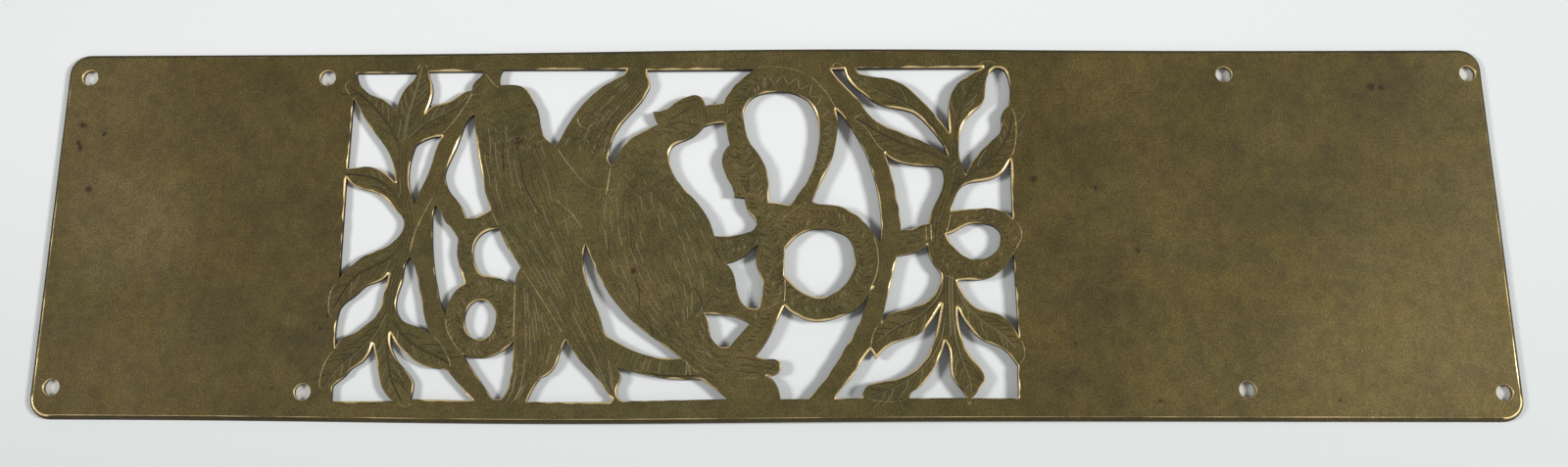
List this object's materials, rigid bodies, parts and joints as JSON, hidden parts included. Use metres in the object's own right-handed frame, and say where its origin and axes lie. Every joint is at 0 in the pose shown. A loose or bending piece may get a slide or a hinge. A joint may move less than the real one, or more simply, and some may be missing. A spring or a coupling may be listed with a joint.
{
  "type": "kick plate",
  "caption": "Pierced and engraved brass kick plate with an eagle fighting a snake inside a ring, leafy sprigs at both sides and plain ends with screw holes.",
  "frame": {"origin": "the middle of the plate's back, halfway along its length and halfway up its height", "axes": "+X runs along the plate to the right as the eagle is seen upright, +Y up the face, +Z straight out of the engraved face. The plate lies on its back on Z = 0."},
  "size_m": [0.4064, 0.1068, 0.002],
  "materials": {
    "aged_brass": "dull, olive-brown with age, bright only on the worn edges"
  },
  "bodies": {
    "root": {"brass_plate": "aged_brass"}
  },
  "joints": []
}
